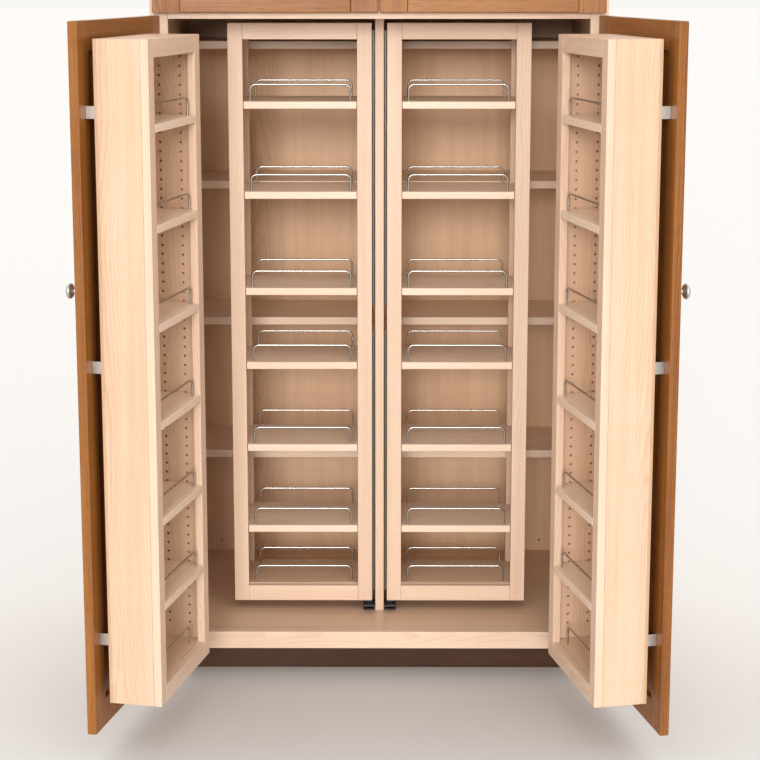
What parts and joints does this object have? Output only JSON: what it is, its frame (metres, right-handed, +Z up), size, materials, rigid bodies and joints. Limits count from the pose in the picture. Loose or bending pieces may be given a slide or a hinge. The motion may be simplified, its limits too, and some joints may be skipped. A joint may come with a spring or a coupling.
{
  "type": "pantry cabinet",
  "caption": "Tall face-frame pantry cabinet with racks on the lower doors, swing-out racks on a centre post, fixed shelves behind them and a closed upper compartment.",
  "frame": {"origin": "on the floor, at the middle of the space that the cabinet takes up with its two lower doors open, on the centre plane between the left and right halves", "axes": "+X to the right seen from the front, +Y to the back (the wall side), +Z up along the height"},
  "size_m": [1.1836, 1.0918, 2.134],
  "materials": {
    "maple_board": "clear satin lacquer on light maple board",
    "maple_edge": "clear satin lacquer on solid light maple",
    "maple_back": "clear satin lacquer on thin maple panel",
    "stained_door": "honey-brown stain under satin lacquer",
    "toe_stain": "dark brown stain",
    "chrome_wire": "polished chrome plate",
    "steel_hardware": "nickel plate",
    "black_nylon": "moulded nylon"
  },
  "bodies": {
    "cabinet": {"side_panel_left": "maple_board", "side_panel_right": "maple_board", "bottom_panel": "maple_board", "mid_panel": "maple_board", "top_panel": "maple_board", "back_panel": "maple_back", "hang_rails": "maple_back", "toe_kick": "toe_stain", "face_frame_stiles": "maple_edge", "face_frame_rails": "maple_edge", "centre_post": "maple_edge", "rear_shelves": "maple_edge", "upper_shelf": "maple_edge", "shelf_pins": "steel_hardware", "post_hinge_leaves": "steel_hardware", "pivot_brackets": "black_nylon", "door_hinge_plates": "steel_hardware", "cabinet_screws": "steel_hardware"},
    "left_door": {"left_door_frame": "stained_door", "left_door_panel": "stained_door", "left_door_hinges": "steel_hardware", "left_door_knob": "steel_hardware", "left_door_rack_case": "maple_board", "left_door_rack_back": "maple_back", "left_door_rack_frame": "maple_edge", "left_door_rack_shelves": "maple_edge", "left_door_rack_rails": "chrome_wire", "left_door_rack_pins": "steel_hardware", "left_door_rack_brackets": "steel_hardware"},
    "right_door": {"right_door_frame": "stained_door", "right_door_panel": "stained_door", "right_door_hinges": "steel_hardware", "right_door_knob": "steel_hardware", "right_door_rack_case": "maple_board", "right_door_rack_back": "maple_back", "right_door_rack_frame": "maple_edge", "right_door_rack_shelves": "maple_edge", "right_door_rack_rails": "chrome_wire", "right_door_rack_pins": "steel_hardware", "right_door_rack_brackets": "steel_hardware"},
    "left_rack": {"left_rack_case": "maple_board", "left_rack_front_frame": "maple_edge", "left_rack_back_frame": "maple_edge", "left_rack_shelves": "maple_edge", "left_rack_rails": "chrome_wire", "left_rack_pins": "steel_hardware", "left_rack_hinges": "steel_hardware", "left_rack_pivot": "black_nylon"},
    "right_rack": {"right_rack_case": "maple_board", "right_rack_front_frame": "maple_edge", "right_rack_back_frame": "maple_edge", "right_rack_shelves": "maple_edge", "right_rack_rails": "chrome_wire", "right_rack_pins": "steel_hardware", "right_rack_hinges": "steel_hardware", "right_rack_pivot": "black_nylon"},
    "upper_left_door": {"upper_left_door": "stained_door", "upper_left_fittings": "steel_hardware"},
    "upper_right_door": {"upper_right_door": "stained_door", "upper_right_fittings": "steel_hardware"}
  },
  "joints": [
    {"name": "left_door_hinge", "type": "hinge", "parent": "cabinet", "child": "left_door", "pos_m": [-0.463, -0.09306, 0.7545], "axis": [0, 0, -1], "range_deg": [-102, 3]},
    {"name": "right_door_hinge", "type": "hinge", "parent": "cabinet", "child": "right_door", "pos_m": [0.463, -0.09306, 0.7545], "axis": [0, 0, 1], "range_deg": [-102, 3]},
    {"name": "left_rack_hinge", "type": "hinge", "parent": "cabinet", "child": "left_rack", "pos_m": [-0.013, 0.06094, 0.7805], "axis": [0, 0, 1], "range_deg": [0, 90]},
    {"name": "right_rack_hinge", "type": "hinge", "parent": "cabinet", "child": "right_rack", "pos_m": [0.013, 0.06094, 0.7805], "axis": [0, 0, -1], "range_deg": [0, 90]},
    {"name": "upper_left_hinge", "type": "hinge", "parent": "cabinet", "child": "upper_left_door", "pos_m": [-0.463, -0.09306, 1.7885], "axis": [0, 0, -1], "range_deg": [0, 105]},
    {"name": "upper_right_hinge", "type": "hinge", "parent": "cabinet", "child": "upper_right_door", "pos_m": [0.463, -0.09306, 1.7885], "axis": [0, 0, 1], "range_deg": [0, 105]}
  ]
}
